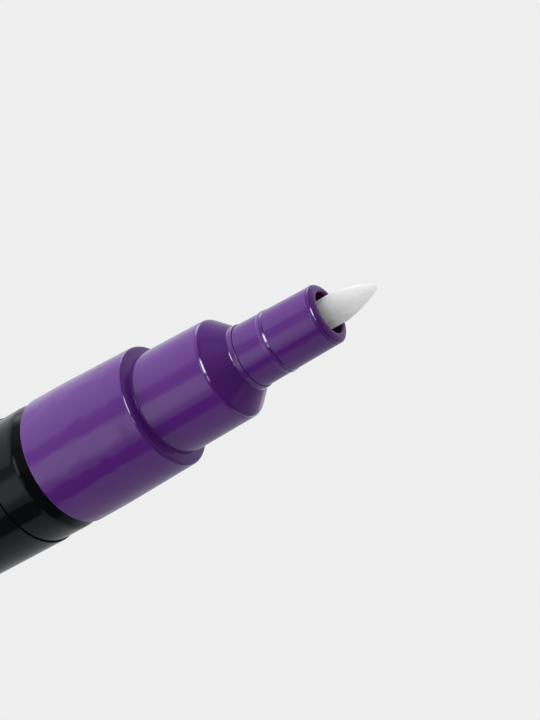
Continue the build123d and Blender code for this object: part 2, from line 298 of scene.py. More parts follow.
class Board:
    """A node tree being wired up."""

    def __init__(self, tree):
        self.tree = tree
        tree.nodes.clear()

    def node(self, kind, settings=None, sockets=None):
        """Add a node of that type, with its settings and then the values or links of its sockets."""
        made = self.tree.nodes.new(kind)
        for name, value in (settings or {}).items():
            setattr(made, name, value)
        for key, value in (sockets or {}).items():
            if isinstance(value, Wire):
                self.tree.links.new(value.socket, made.inputs[key])
            else:
                made.inputs[key].default_value = value
        return Wire(self, made.outputs[0]) if made.outputs else None

    def math(self, operation, *values):
        return self.node("ShaderNodeMath", {"operation": operation}, dict(enumerate(values)))

    def blend(self, factor, first, second):
        """Mix of two colours."""
        mixed = self.node("ShaderNodeMix", {"data_type": "RGBA"}, {0: factor, 6: first, 7: second})
        return Wire(self, mixed.socket.node.outputs[2])

    def shades(self, mask, colour, first, second):
        """One colour at two gains, mixed by the mask."""
        return self.blend(mask, rgba(colour, first), rgba(colour, second))

    def upward(self, vector):
        """Z part of a vector."""
        return self.node("ShaderNodeSeparateXYZ", None, {0: vector})["Z"]

    def millimetres(self):
        """Place on the piece, in millimetres."""
        place = self.node("ShaderNodeTexCoord")["Object"]
        return self.node("ShaderNodeVectorMath", {"operation": "SCALE"}, {0: place, "Scale": 1 / MM})

    def stretched(self, place, x, y, z):
        """The place with each direction scaled."""
        return self.node("ShaderNodeVectorMath", {"operation": "MULTIPLY"}, {0: place, 1: (x, y, z)})

    def noise(self, place, scale, detail=2.0, roughness=0.5):
        sockets = {"Vector": place, "Scale": scale, "Detail": detail, "Roughness": roughness}
        return self.node("ShaderNodeTexNoise", None, sockets)

    def specks(self, place, scale, size, share):
        """Mask of small dots: one in each cell, in that share of the cells."""
        cells = self.node("ShaderNodeTexVoronoi", None, {"Vector": place, "Scale": scale})
        picked = self.node("ShaderNodeSeparateColor", None, {"Color": cells["Color"]})
        return (1 - cells["Distance"].ramp(size * 0.5, size)) * picked.ramp(1 - share, 1 - share + 0.01)

    def bump(self, height, distance, strength=1.0):
        sockets = {"Strength": strength, "Distance": distance, "Height": height}
        return self.node("ShaderNodeBump", None, sockets)

    def surface(self, sockets):
        """Principled surface wired to the output."""
        shader = self.node("ShaderNodeBsdfPrincipled", None, sockets)
        self.node("ShaderNodeOutputMaterial", None, {"Surface": shader})


def new_finish(name):
    """Empty material and the board that wires it."""
    material = bpy.data.materials.new(name)
    material.use_nodes = True
    return material, Board(material.node_tree)


def purple_plastic(colours):
    """Glossy moulded purple with specks of dust.

    The collar has slow ripples and what lies ahead of it has drawn streaks. The nozzle's bore is painted dark
    purple as painted shade, and the rounded edges are polished brighter than the walls. The purple is also painted
    a little darker towards the nozzle, as painted shade for light that falls off away from the collar.
    """
    material, board = new_finish("purple_plastic")
    place = board.millimetres()
    across = board.stretched(place, 1.0, 1.0, 0.0)
    height = board.upward(place)
    nozzle_rear = SECTION_HIGH.z / MM
    collar_front = nozzle_rear - COLLAR_TO_NOZZLE
    collar = 1 - height.ramp(collar_front - 3.0, collar_front - 0.8)
    # Painted shade: mask of the nozzle end, where the purple is painted darker
    nozzle = height.ramp(nozzle_rear - 2, nozzle_rear + 8)
    ripple = 2.1 * board.noise(board.stretched(place, 1.0, 1.0, 0.8), 0.45, 1.2, 0.4)
    spoke = board.node("ShaderNodeVectorMath", {"operation": "NORMALIZE"}, {0: across})
    streak = board.noise(spoke, 11.0, 3.0, 0.6) * (1 - collar)
    mark = height.near(NOZZLE_HIGH.z / MM - MARK_SETBACK, 0.02, 0.1)
    peel = board.noise(place, 3.5, 1.0)
    mottle = board.noise(place, 0.8, 3.0)
    dust = board.specks(place, 0.9, 0.05, 0.06)
    radius = board.node("ShaderNodeVectorMath", {"operation": "LENGTH"}, {0: across})["Value"]
    # Painted shade: mask of the bore inside the nozzle's mouth, which is painted dark
    inside = (1 - radius.ramp(*BORE_EDGE)) * height.ramp(nozzle_rear, nozzle_rear + 0.5)
    lean = board.upward(board.node("ShaderNodeTexCoord")["Normal"])
    polished = lean.between(0.19, 0.27, 0.36, 0.46)
    # Painted shade: the purple goes from 1.02 times its colour at the collar and seat to 0.92 at the nozzle,
    # standing in for light that falls off away from the collar
    plain = board.shades(nozzle, colours.purple, 1.02, 0.92)
    mottled = board.blend(mottle.ramp(0.3, 0.7) * 0.5, plain, rgba(colours.purple, 1.04))
    # Painted shade: the bore is painted in the dark bore colour
    bore_shaded = board.blend(inside, mottled, rgba(colours.stain_and_painted_shade))
    relief = ripple * collar + 0.35 * streak + 0.004 * peel + 0.05 * mark
    board.surface(
        {
            "Base Color": board.blend(dust * 0.5, bore_shaded, rgba(colours.lilac_dust)),
            "Roughness": 0.08 + 0.05 * mottle + 0.3 * dust,
            "Coat Weight": polished * (1 - inside),
            "Coat IOR": 2.2,
            "Coat Roughness": 0.08,
            "Normal": board.bump(relief, 0.05 * MM),
        }
    )
    return material


def black_plastic(colours):
    """Glossy moulded black with hairline scuffs and dust."""
    material, board = new_finish("black_plastic")
    place = board.millimetres()
    scuff = board.noise(board.stretched(place, 0.5, 0.5, 6.0), 1.0, 4.0, 0.6)
    peel = board.noise(place, 2.5, 1.0)
    dust = board.specks(place, 0.8, 0.07, 0.2)
    board.surface(
        {
            "Base Color": board.blend(dust * 0.6, rgba(colours.black), rgba(colours.dust)),
            "Roughness": 0.06 + 0.08 * scuff.ramp(0.5, 0.75) + 0.3 * dust,
            "Specular IOR Level": BLACK_GLOSS,
            "Specular Tint": BLACK_GLOSS_TINT,
            "Normal": board.bump(peel, 0.001 * MM),
        }
    )
    return material


def label_film(colours):
    """Thin black film: fine wrinkles and rubbed patches."""
    material, board = new_finish("label_film")
    place = board.millimetres()
    wrinkle = board.noise(board.stretched(place, 1.0, 1.0, 0.25), 0.7, 2.0)
    rubbed = board.noise(place, 0.35, 4.0, 0.6)
    dust = board.specks(place, 0.7, 0.06, 0.12)
    plain = board.shades(rubbed.ramp(0.4, 0.7), colours.film, 0.9, 1.2)
    board.surface(
        {
            "Base Color": board.blend(dust * 0.6, plain, rgba(colours.dust)),
            "Roughness": 0.09 + 0.07 * rubbed.ramp(0.35, 0.75) + 0.3 * dust,
            "Specular IOR Level": BLACK_GLOSS,
            "Specular Tint": BLACK_GLOSS_TINT,
            "Normal": board.bump(wrinkle, 0.006 * MM),
        }
    )
    return material


def nib_fibre(colours):
    """Bonded white fibre that light soaks into: painted brighter and bluer on the rod, the brightness being
    painted light for the rod in the shade of the nozzle's mouth; streaked on the cut point.
    """
    material, board = new_finish("nib_fibre")
    place = board.millimetres()
    streak = board.noise(board.stretched(place, 3.2, 3.2, 0.3), 1.0, 3.0, 0.6)
    strand = board.noise(board.stretched(place, 18.0, 18.0, 1.0), 1.0, 2.0)
    rod_end, point_start = (NIB_HIGH.z / MM - setback for setback in NIB_POINT_EDGE)
    point = board.upward(place).ramp(rod_end, point_start)
    # Painted light: the rod is painted brighter than the point, standing in for the light it loses in the nozzle's
    # mouth
    rod = rgba([channel * gain for channel, gain in zip(colours.fibre, ROD_TINT_AND_PAINTED_LIGHT)])
    base = board.blend(point, rod, rgba(colours.fibre))
    streaked = board.blend(streak.ramp(0.45, 0.7) * point * 0.2, base, rgba(colours.fibre, 0.9))
    relief = (0.6 * streak + 0.2 * strand) * (0.3 + 0.7 * point)
    board.surface(
        {
            "Base Color": streaked,
            "Roughness": 0.62 + 0.2 * streak,
            "Normal": board.bump(relief, 0.02 * MM, 0.6),
            "Subsurface Weight": 1.0,
            "Subsurface Radius": (1.0, 1.0, 1.0),
            "Subsurface Scale": 20.0 * MM,
        }
    )
    return material


def natural_plastic(colours):
    """Satin natural plastic of the valve."""
    material, board = new_finish("natural_plastic")
    place = board.millimetres()
    cloud = board.noise(place, 0.6, 3.0)
    grain = board.noise(place, 6.0, 2.0)
    board.surface(
        {
            "Base Color": board.shades(cloud.ramp(0.3, 0.7), colours.natural, 0.93, 1.03),
            "Roughness": 0.38 + 0.15 * grain,
            "Normal": board.bump(grain, 0.004 * MM),
        }
    )
    return material


def seal_rubber(colours):
    """Matt black rubber with a fine bloom."""
    material, board = new_finish("seal_rubber")
    place = board.millimetres()
    bloom = board.noise(place, 1.5, 4.0, 0.6)
    grain = board.noise(place, 9.0, 2.0)
    board.surface(
        {
            "Base Color": board.shades(bloom.ramp(0.4, 0.8), colours.rubber, 1.0, 1.8),
            "Roughness": 0.7 + 0.2 * bloom,
            "Normal": board.bump(grain, 0.006 * MM),
        }
    )
    return material


def drawn_steel(colours):
    """Drawn stainless steel with fine draw lines."""
    material, board = new_finish("drawn_steel")
    place = board.millimetres()
    lines = board.noise(board.stretched(place, 3.0, 3.0, 14.0), 1.0, 3.0)
    stain_and_painted_shade = board.noise(place, 0.9, 3.0)
    board.surface(
        {
            "Base Color": board.shades(stain_and_painted_shade.ramp(0.35, 0.7), colours.steel, 0.9, 1.05),
            "Metallic": 1.0,
            "Roughness": 0.22 + 0.16 * lines,
            "Normal": board.bump(lines, 0.002 * MM),
        }
    )
    return material


FINISHES = {
    "front_purple": purple_plastic,
    "barrel_black": black_plastic,
    "label_film": label_film,
    "nib_fibre": nib_fibre,
    "valve_plastic": natural_plastic,
    "seal_rubber": seal_rubber,
    "spring_steel": drawn_steel,
}
made_finishes = {}


def finish_for(slot, context):
    """The material of a slot, made the first time it is asked for."""
    if slot not in made_finishes:
        made_finishes[slot] = FINISHES[slot](context.scene.marker_colours)
    return made_finishes[slot]


def corner_turn(before, here, after):
    """Directions from a corner to its neighbours, and half the angle between them."""
    back = (before - here).normalized()
    ahead = (after - here).normalized()
    return back, ahead, back.angle(ahead) / 2


def corner_arc(here, back, ahead, half, radius):
    """Points of a rounded corner."""
    turn = math.pi - 2 * half
    if back.x * ahead.y - back.y * ahead.x > 0:
        turn = -turn
    centre = here + (back + ahead).normalized() * (radius / math.sin(half))
    spoke = here + back * (radius / math.tan(half)) - centre
    steps = max(4, math.ceil(abs(turn) / ARC_STEP))
    return [centre + Matrix.Rotation(turn * i / steps, 2) @ spoke for i in range(steps + 1)]


def rounded(*corners):
    """Closed profile in metres through (radius, height[, rounding]) corners.

    A support point on each side of a rounding keeps the walls beside it flat.
    """
    count = len(corners)
    places = [Vector(corner[:2]) for corner in corners]
    radii = [corner[2] if len(corner) > 2 else 0.0 for corner in corners]
    turns = [corner_turn(places[i - 1], places[i], places[(i + 1) % count]) for i in range(count)]
    reaches = [radius / math.tan(half) if radius else 0.0 for radius, (_, _, half) in zip(radii, turns)]
    supports = []
    for i in range(count):
        following = (i + 1) % count
        room = (places[following] - places[i]).length - reaches[i] - reaches[following]
        if room < 0:
            overlap = -room / MM
            raise ValueError(f"Roundings of corners {i} and {following} overlap by {overlap:.3f} mm")
        supports.append(min(EDGE_SUPPORT, 0.4 * room))
    profile = []
    for i, (back, ahead, half) in enumerate(turns):
        if radii[i]:
            arc = corner_arc(places[i], back, ahead, half, radii[i])
            profile += [arc[0] + back * supports[i - 1], *arc, arc[-1] + ahead * supports[i]]
        else:
            profile.append(places[i])
    return profile


def tree_with_inputs(name, *inputs):
    """Geometry node tree with those (name, socket type) inputs, its board and its input identifiers."""
    tree = bpy.data.node_groups.new(name, "GeometryNodeTree")
    sockets = {}
    for label, kind in inputs:
        socket = tree.interface.new_socket(name=label, in_out="INPUT", socket_type=kind)
        sockets[label] = socket.identifier
    tree.interface.new_socket(name="Geometry", in_out="OUTPUT", socket_type="NodeSocketGeometry")
    return tree, Board(tree), sockets


def end_tree(board, geometry, material):
    """Last nodes of every tree: realized geometry with its finish."""
    real = board.node("GeometryNodeRealizeInstances", None, {"Geometry": geometry})
    dressed = board.node("GeometryNodeSetMaterial", None, {"Geometry": real, "Material": material})
    board.node("NodeGroupOutput", None, {"Geometry": dressed})


def turning_tree():
    """Sweeps a profile once round the axis."""
    tree, board, sockets = tree_with_inputs(
        "Turned Piece",
        ("Profile", "NodeSocketGeometry"),
        ("Segments", "NodeSocketInt"),
        ("Path Radius", "NodeSocketFloat"),
        ("Finish", "NodeSocketMaterial"),
    )
    given = board.node("NodeGroupInput")
    path = board.node(
        "GeometryNodeCurvePrimitiveCircle",
        {"mode": "RADIUS"},
        {"Resolution": given["Segments"], "Radius": given["Path Radius"]},
    )
    swept = board.node(
        "GeometryNodeCurveToMesh", None, {"Curve": path, "Profile Curve": given["Profile"]}
    )
    welded = board.node(
        "GeometryNodeMergeByDistance", None, {"Geometry": swept, "Distance": WELD_DISTANCE}
    )
    end_tree(board, welded, given["Finish"])
    return tree, sockets


def rib_tree():
    """Adds straight ribs round the inside of a bore."""
    tree, board, sockets = tree_with_inputs(
        "Guide Ribs",
        ("Body", "NodeSocketGeometry"),
        ("Count", "NodeSocketInt"),
        ("Radius", "NodeSocketFloat"),
        ("Size", "NodeSocketVector"),
        ("Middle", "NodeSocketVector"),
        ("Finish", "NodeSocketMaterial"),
    )
    given = board.node("NodeGroupInput")
    ring = board.node(
        "GeometryNodeMeshCircle",
        {"fill_type": "NONE"},
        {"Vertices": given["Count"], "Radius": given["Radius"]},
    )
    bar = board.node("GeometryNodeMeshCube", None, {"Size": given["Size"]})
    turn = board.node("GeometryNodeInputIndex") * (2 * math.pi) / given["Count"]
    facing = board.node("ShaderNodeCombineXYZ", None, {"Z": turn})
    bars = board.node(
        "GeometryNodeInstanceOnPoints", None, {"Points": ring, "Instance": bar, "Rotation": facing}
    )
    lifted = board.node(
        "GeometryNodeTranslateInstances",
        None,
        {"Instances": bars, "Translation": given["Middle"], "Local Space": False},
    )
    joined = board.node("GeometryNodeJoinGeometry", None, {"Geometry": lifted})
    board.tree.links.new(given["Body"].socket, joined.socket.node.inputs["Geometry"])
    end_tree(board, joined, given["Finish"])
    return tree, sockets


def winding_tree():
    """Winds a round wire into a spring."""
    tree, board, sockets = tree_with_inputs(
        "Wound Wire",
        ("Turns", "NodeSocketFloat"),
        ("Radius", "NodeSocketFloat"),
        ("Height", "NodeSocketFloat"),
        ("Wire Radius", "NodeSocketFloat"),
        ("Rear", "NodeSocketVector"),
        ("Finish", "NodeSocketMaterial"),
    )
    given = board.node("NodeGroupInput")
    coil = board.node(
        "GeometryNodeCurveSpiral",
        None,
        {
            "Resolution": COIL_STEPS,
            "Rotations": given["Turns"],
            "Start Radius": given["Radius"],
            "End Radius": given["Radius"],
            "Height": given["Height"],
            "Reverse": True,
        },
    )
    section = board.node(
        "GeometryNodeCurvePrimitiveCircle",
        {"mode": "RADIUS"},
        {"Resolution": WIRE_SIDES, "Radius": given["Wire Radius"]},
    )
    wire = board.node(
        "GeometryNodeCurveToMesh", None, {"Curve": coil, "Profile Curve": section, "Fill Caps": True}
    )
    raised = board.node("GeometryNodeTransform", None, {"Geometry": wire, "Translation": given["Rear"]})
    end_tree(board, raised, given["Finish"])
    return tree, sockets


def run_tree(data, tree, sockets, values):
    """Run a node tree on a curve or mesh and return the plain mesh that it makes."""
    holder = bpy.data.objects.new(tree.name, data)
    bpy.context.scene.collection.objects.link(holder)
    modifier = holder.modifiers.new(tree.name, "NODES")
    modifier.node_group = tree
    for label, value in values.items():
        modifier[sockets[label]] = value
    graph = bpy.context.evaluated_depsgraph_get()
    mesh = bpy.data.meshes.new_from_object(holder.evaluated_get(graph))
    bpy.data.objects.remove(holder)
    return mesh


def tidy_mesh(mesh):
    """Weld, turn the faces outwards and mark the sharp edges."""
    shell = bmesh.new()
    shell.from_mesh(mesh)
    bmesh.ops.remove_doubles(shell, verts=shell.verts, dist=WELD_DISTANCE)
    bmesh.ops.recalc_face_normals(shell, faces=shell.faces)
    shell.to_mesh(mesh)
    shell.free()
    mesh.shade_smooth()
    mesh.set_sharp_from_angle(angle=SHARP_ANGLE)


def turned(profile, ring, material, context):
    """Mesh turned from a profile of (radius, height) points. A ring's profile closes on itself."""
    curve = bpy.data.curves.new("profile", "CURVE")
    curve.dimensions = "3D"
    spline = curve.splines.new("POLY")
    spline.points.add(len(profile) - 1)
    for point, (radius, height) in zip(spline.points, profile):
        point.co = (radius - PATH_RADIUS, -height, 0, 1)
    spline.use_cyclic_u = ring
    tree, sockets = turning_tree()
    values = {
        "Segments": context.scene.marker_sizes.segments,
        "Path Radius": PATH_RADIUS,
        "Finish": material,
    }
    mesh = run_tree(curve, tree, sockets, values)
    tidy_mesh(mesh)
    return mesh


def place_piece(name, mesh, body, node):
    """Put a finished mesh into the scene in the place of its CAD node."""
    mesh.name = name
    piece = bpy.data.objects.new(name, mesh)
    bpy.context.scene.collection.objects.link(piece)
    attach(piece, body)
    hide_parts(node)
    return piece


class MARKER_OT_barrel(Operator):
    """Black barrel with its rolled front lip"""

    bl_idname = "marker.barrel"
    bl_label = "Barrel"

    def execute(self, context):
        sizes = context.scene.marker_sizes
        radius = BARREL_HIGH.x
        rear = BARREL_LOW.z
        front = BARREL_HIGH.z
        bore = radius - sizes.barrel_wall
        lip_bend = 0.3 * sizes.lip_length
        lip_corner = front - sizes.lip_length + lip_bend
        lip_turn = math.atan2(sizes.lip_drop, sizes.lip_length - lip_bend)
        lip_round = 0.5 * lip_bend / math.tan(lip_turn / 2)
        groove = front - SNAP_SETBACK
        groove_half = 0.73 * MM
        groove_floor = bore + 0.2 * MM
        profile = rounded(
            (bore, rear),
            (radius, rear, EDGE_ROUND),
            (radius, lip_corner, lip_round),
            (radius - sizes.lip_drop, front, FINE_ROUND),
            (bore, front),
            (bore, groove + groove_half),
            (groove_floor, groove + groove_half),
            (groove_floor, groove - groove_half),
            (bore, groove - groove_half),
        )
        mesh = turned(profile, True, finish_for("barrel_black", context), context)
        place_piece("barrel_tube", mesh, "marker_body", "barrel")
        return {"FINISHED"}


class MARKER_OT_label(Operator):
    """Black film round the barrel"""

    bl_idname = "marker.label"
    bl_label = "Label Film"

    def execute(self, context):
        thickness = 0.16 * MM
        edge = 0.09 * MM
        outer = LABEL_HIGH.x
        inner = outer - thickness
        profile = rounded(
            (inner, LABEL_LOW.z),
            (outer, LABEL_LOW.z, edge),
            (outer, LABEL_HIGH.z, edge),
            (inner, LABEL_HIGH.z),
        )
        mesh = turned(profile, True, finish_for("label_film", context), context)
        place_piece("label_wrap", mesh, "marker_body", "label_sleeve")
        return {"FINISHED"}


class MARKER_OT_tail_plug(Operator):
    """Purple plug that closes the tail"""

    bl_idname = "marker.tail_plug"
    bl_label = "Tail Plug"

    def execute(self, context):
        sizes = context.scene.marker_sizes
        radius = TAIL_HIGH.x
        head = BARREL_LOW.z
        front = TAIL_HIGH.z
        bore = BARREL_HIGH.x - sizes.barrel_wall
        spigot = bore - 0.33 * MM
        cup = spigot - 1.2 * MM
        cup_floor = 2.5 * MM
        recess_radius = 4.2 * MM
        recess_depth = 0.5 * MM
        chamfer = 0.5 * MM
        soft_round = 0.2 * MM
        rib_height = 0.3 * MM
        rib_half = 0.6 * MM
        rib_step = (front - head) / 3
        ribs = []
        for rib in (1, 2):
            middle = head + rib_step * rib
            ribs.append((spigot, middle - rib_half))
            ribs.append((spigot + rib_height, middle, soft_round))
            ribs.append((spigot, middle + rib_half))
        profile = rounded(
            (0, recess_depth),
            (recess_radius, recess_depth, soft_round),
            (recess_radius, 0, EDGE_ROUND),
            (radius, 0, sizes.tail_round),
            (radius, head, EDGE_ROUND),
            (spigot, head),
            *ribs,
            (spigot, front - chamfer),
            (spigot - chamfer, front),
            (cup, front),
            (cup, cup_floor, 0.5 * MM),
            (0, cup_floor),
        )
        mesh = turned(profile, False, finish_for("front_purple", context), context)
        place_piece("tail_plug_cap", mesh, "marker_body", "tail_plug")
        return {"FINISHED"}


class MARKER_OT_front_section(Operator):
    """Purple front section: collar, cap seat, shoulder, cone and ring over the spigot"""

    bl_idname = "marker.front_section"
    bl_label = "Front Section"

    def execute(self, context):
        sizes = context.scene.marker_sizes
        collar_rear = BARREL_HIGH.z
        collar_front = collar_rear + sizes.collar_length
        seat_front = collar_front + sizes.seat_length
        cone_front = seat_front + sizes.cone_length
        ring_front = SECTION_HIGH.z
        overhang = 0.03 * MM
        collar_radius = BARREL_HIGH.x + overhang
        collar_bow = collar_radius - sizes.collar_bow * math.tan(sizes.collar_rear_draft)
        collar_tip = collar_bow - (sizes.collar_length - sizes.collar_bow) * math.tan(sizes.collar_draft)
        seat_root = collar_tip - sizes.collar_step
        seat_tip = seat_root - sizes.seat_length * math.tan(sizes.seat_draft)
        spigot_gap = 0.03 * MM
        spigot = BARREL_HIGH.x - sizes.barrel_wall - spigot_gap
        bore = spigot - 1.5 * MM
        chamber = bore - 0.8 * MM
        socket = sizes.nozzle_radius - 0.64 * MM
        spigot_rear = SECTION_LOW.z
        chamfer = 0.5 * MM
        snap = collar_rear - SNAP_SETBACK
        snap_half = 0.7 * MM
        snap_height = 0.2 * MM
        groove = collar_rear - 4.0 * MM
        groove_half = 0.5 * MM
        groove_floor = spigot - 0.83 * MM
        gasket_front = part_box("valve_gasket")[1].z
        bow_round = 100 * MM
        cone_round = 0.35 * MM
        profile = rounded(
            (bore, spigot_rear),
            (spigot - chamfer, spigot_rear),
            (spigot, spigot_rear + chamfer),
            (spigot, snap - snap_half),
            (spigot + snap_height, snap, 0.2 * MM),
            (spigot, snap + snap_half),
            (spigot, groove - groove_half),
            (groove_floor, groove - groove_half),
            (groove_floor, groove + groove_half),
            (spigot, groove + groove_half),
            (spigot, collar_rear),
            (collar_radius, collar_rear, 0.1 * MM),
            (collar_bow, collar_rear + sizes.collar_bow, bow_round),
            (collar_tip, collar_front - sizes.collar_fall, sizes.collar_round),
            (seat_root, collar_front, 0.05 * MM),
            (seat_tip, seat_front, sizes.shoulder_round),
            (sizes.ring_radius, cone_front, cone_round),
            (sizes.ring_radius, ring_front, FINE_ROUND),
            (socket, ring_front),
            (socket, NOZZLE_LOW.z),
            (chamber, NOZZLE_LOW.z),
            (chamber, gasket_front),
            (bore, gasket_front),
        )
        mesh = turned(profile, True, finish_for("front_purple", context), context)
        place_piece("front_moulding", mesh, "marker_body", "front_section")
        return {"FINISHED"}


class MARKER_OT_nozzle(Operator):
    """Purple nozzle with its bead, rounded mouth and guide ribs"""

    bl_idname = "marker.nozzle"
    bl_label = "Nozzle"

    def execute(self, context):
        sizes = context.scene.marker_sizes
        slope = math.tan(sizes.nozzle_draft)
        root = SECTION_HIGH.z
        front_gap = 0.1 * MM
        front = NOZZLE_HIGH.z - front_gap
        rear = NOZZLE_LOW.z
        radius = sizes.nozzle_radius
        shank = radius - 0.67 * MM
        bore = NIB_HIGH.x + 0.61 * MM
        bead_rear = root + sizes.bead_setback
        bead_front = bead_rear + sizes.bead_length
        bead_root = radius - sizes.bead_setback * slope
        bead_foot = bead_root - sizes.bead_length * slope
        rim_rear = front - sizes.rim_length
        rim_root = radius - (rim_rear - root) * slope
        rim = rim_root + 0.03 * MM
        rim_wall = 0.35 * MM
        rim_width = 0.5 * MM
        line = 0.045 * MM
        line_round = 0.02 * MM
        mouth_rear = front - sizes.mouth_depth
        bead_rise = bead_rear + 0.28 * sizes.bead_length
        bead_crown = bead_rear + 0.65 * sizes.bead_length
        bead_fall = bead_rear + 0.95 * sizes.bead_length
        profile = rounded(
            (bore, rear),
            (shank, rear),
            (shank, root),
            (radius, root, 0.015 * MM),
            (bead_root, bead_rear, 0.12 * MM),
            (bead_root + 0.75 * sizes.bead_height, bead_rise, 0.3 * MM),
            (bead_foot + sizes.bead_height, bead_crown, 0.8 * MM),
            (bead_foot + 0.25 * sizes.bead_height, bead_fall, 0.03 * MM),
            (bead_foot, bead_front, 0.04 * MM),
            (rim_root, rim_rear - line, line_round),
            (rim_root - 2 * line, rim_rear),
            (rim, rim_rear + line, line_round),
            (rim, front - rim_wall, 0.5 * MM),
            (rim - rim_width, front, 0.85 * MM),
            (sizes.mouth_radius, front, 0.25 * MM),
            (sizes.mouth_radius, mouth_rear),
            (bore, mouth_rear),
        )
        material = finish_for("front_purple", context)
        body = turned(profile, True, material, context)
        rib_inner = NIB_HIGH.x + 0.06 * MM
        rib_outer = bore + 0.05 * MM
        tree, sockets = rib_tree()
        values = {
            "Count": sizes.rib_count,
            "Radius": (rib_inner + rib_outer) / 2,
            "Size": (rib_outer - rib_inner, sizes.rib_width, mouth_rear - rear),
            "Middle": (0, 0, (mouth_rear + rear) / 2),
            "Finish": material,
        }
        mesh = run_tree(body, tree, sockets, values)
        tidy_mesh(mesh)
        place_piece("nozzle_tube", mesh, "marker_body", "nozzle")
        return {"FINISHED"}


class MARKER_OT_nib(Operator):
    """White fibre nib"""

    bl_idname = "marker.nib"
    bl_label = "Nib"

    def execute(self, context):
        sizes = context.scene.marker_sizes
        radius = NIB_HIGH.x
        rear = NIB_LOW.z
        tip = NIB_HIGH.z
        point_rear = tip - sizes.nib_point
        chamfer = 0.3 * MM
        crown = 0.14 * MM
        crown_steps = 6
        point_steps = 28
        profile = [
            Vector((0, rear)),
            Vector((radius - chamfer, rear)),
            Vector((radius, rear + chamfer)),
            Vector((radius, point_rear - 0.4 * MM)),
        ]
        start = Vector((radius, point_rear))
        end = Vector((sizes.nib_tip, tip - crown))
        run = end - start
        outward = Vector((run.y, -run.x)).normalized()
        for step in range(point_steps + 1):
            share = step / point_steps
            swell = 4 * sizes.nib_bulge * share * (1 - share)
            profile.append(start + run * share + outward * swell)
        for step in range(1, crown_steps + 1):
            turn = math.pi / 2 * step / crown_steps
            height = tip - crown + crown * math.sin(turn)
            profile.append(Vector((sizes.nib_tip * math.cos(turn), height)))
        mesh = turned(profile, False, finish_for("nib_fibre", context), context)
        for vertex in mesh.vertices:
            cut = min(1.0, max(0.0, (vertex.co.z - point_rear) / MM))
            spoke = Vector((vertex.co.x, vertex.co.y, 0)).normalized()
            lift = sizes.nib_fray * cut * noise.noise(vertex.co / sizes.nib_strand)
            vertex.co += spoke * lift
        mesh.update()
        place_piece("nib_rod", mesh, "nib_unit", "nib")
        return {"FINISHED"}


class MARKER_OT_valve_spring(Operator):
    """Steel spring that closes the valve"""

    bl_idname = "marker.valve_spring"
    bl_label = "Valve Spring"

    def execute(self, context):
        sizes = context.scene.marker_sizes
        wire = sizes.spring_wire / 2
        rear = SPRING_LOW.z + wire
        tree, sockets = winding_tree()
        values = {
            "Turns": float(sizes.spring_turns),
            "Radius": SPRING_HIGH.x - wire,
            "Height": SPRING_HIGH.z - wire - rear,
            "Wire Radius": wire,
            "Rear": (0, 0, rear),
            "Finish": finish_for("spring_steel", context),
        }
        mesh = run_tree(bpy.data.meshes.new("coil"), tree, sockets, values)
        tidy_mesh(mesh)
        piece = place_piece("valve_spring_coil", mesh, "marker_body", "valve_spring")
        press = next(joint for joint in frame["joints"] if joint["name"] == "nib_press")
        travel = press["range_m"][1]
        keep = 1 - travel / (SPRING_HIGH.z - SPRING_LOW.z)
        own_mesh(piece)
        return {"FINISHED"}


class MARKER_OT_inner_valve(Operator):
    """Finishes of the pieces inside, which keep their CAD shapes"""

    bl_idname = "marker.inner_valve"
    bl_label = "Inner Pieces"

    def execute(self, context):
        for subpart in frame["record"]["subparts"]:
            if subpart["node"] not in REMADE_NODES:
                mesh = frame["nodes"][subpart["node"]].data
                mesh.materials.clear()
                mesh.materials.append(finish_for(subpart["material_slot"], context))
        return {"FINISHED"}


def reflected_panels(azimuth, height, strip_strength):
    """Brightness that reflections see, by direction in degrees.

    Azimuth is 0 on the camera's side and grows towards +X.
    """
    # Walls below the level: a bright panel in front, a pale left wall and a dark notch on the right
    front = azimuth.between(-26, -13, 5, 27) * (1 - 0.55 * height.ramp(-26, -16))
    side = (1 - (azimuth + 0.8 * (height + 30)).ramp(-48, -42)) * azimuth.ramp(-175, -150)
    notch = azimuth.ramp(29, 33) * (1 - (azimuth + 0.7 * (height + 30)).ramp(56, 62))
    walls = 0.5 + front + (0.45 + 0.17 * azimuth.ramp(-110, -80)) * side - 0.4 * notch
    # Dim ceiling: paler behind and at both sides, with a dark belt in front
    behind = abs(azimuth).ramp(110, 150) * (1 - height.ramp(35, 50))
    right = azimuth.ramp(74, 86)
    left = 0.16 * (1 - azimuth.ramp(-62, -56)) + 0.14 * (1 - azimuth.ramp(-21, -13))
    belt = height.between(2, 8, 30, 40) * (1 - abs(azimuth).ramp(75, 115))
    ceiling = (0.1 + 0.2 * behind + 0.2 * right + left) * (1 - 0.8 * belt)
    # Narrow light on the rounded edges, with a fainter one below it
    narrow = azimuth.between(-50, -36, -20, -11) + 0.25 * azimuth.near(-3, 4, 8)
    glint = 0.5 * height.between(-19, -11, -10, -3)
    strip = narrow * (height.between(1, 5, 22, 28) + glint)
    # Two soft boxes low down behind
    boxes = azimuth.near(-122, 6, 24) + 0.35 * azimuth.near(152, 6, 24)
    boxes = boxes * height.between(-20, -16, -5, 1)
    lifted = height.ramp(-18, -12)
    return walls * (1 - lifted) + ceiling * lifted + strip_strength * strip + boxes


def soft_light(azimuth, height, stage):
    """Brightness of the light on the surfaces: most from the lower left, least from above in front."""
    right = azimuth.between(-20, 20, 165, 180)
    sides = stage.left + (stage.right - stage.left) * right
    low = sides * (1.5 - 0.85 * height.ramp(-70, -10))
    rear = abs(azimuth).ramp(45, 110) * (1 - 0.3 * right)
    high = stage.overhead + (stage.overhead_rear - stage.overhead) * rear
    lifted = height.ramp(-6, 26)
    return low * (1 - lifted) + high * lifted


